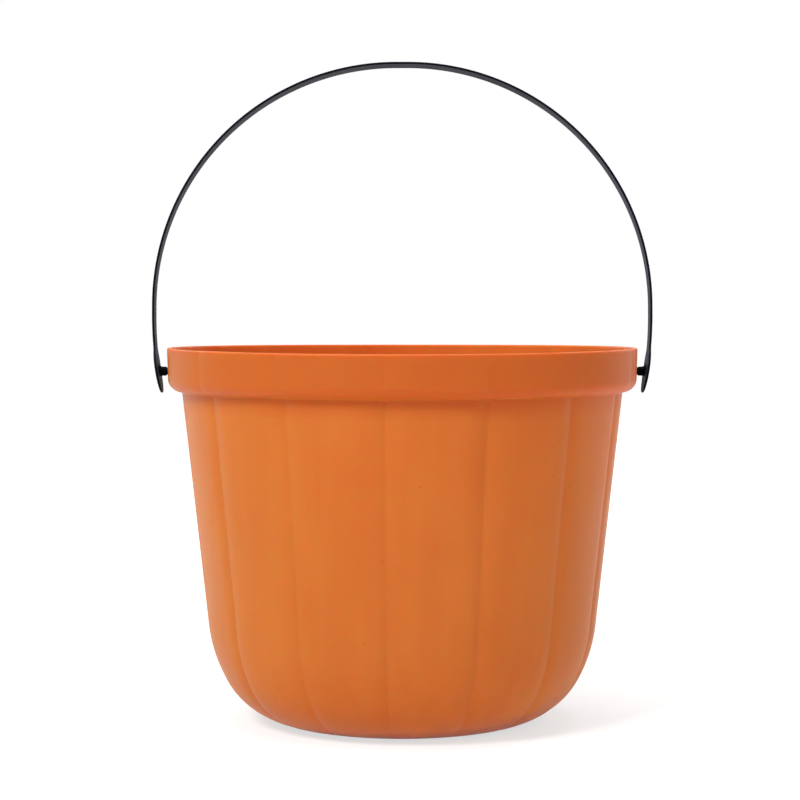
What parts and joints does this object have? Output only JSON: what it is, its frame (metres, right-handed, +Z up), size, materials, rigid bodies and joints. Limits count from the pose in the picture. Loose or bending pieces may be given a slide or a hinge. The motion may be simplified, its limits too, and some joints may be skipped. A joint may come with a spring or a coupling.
{
  "type": "candy pail with strap handle",
  "caption": "Round lobed pail with a tapered wall, rounded bottom and stepped-out collar, carried by a thin arched strap handle that swings on snap-in studs.",
  "frame": {"origin": "on the plane that the foot ring stands on, under the middle of the pail", "axes": "+Z up, +X through the handle's right-hand pivot, -Y towards the viewer, so that the handle at rest leans back to +Y"},
  "size_m": [0.2344, 0.22, 0.3098],
  "materials": {
    "orange_plastic": "satin moulded polypropylene, orange all through",
    "black_plastic": "smooth moulded polypropylene, black, semi-gloss"
  },
  "bodies": {
    "pail": {"pail": "orange_plastic"},
    "handle": {"strap_handle": "black_plastic"}
  },
  "joints": [
    {"name": "handle_swing", "type": "hinge", "parent": "pail", "child": "handle", "pos_m": [0, 0, 0.1644], "axis": [1, 0, 0], "range_deg": [-133, 143]}
  ]
}
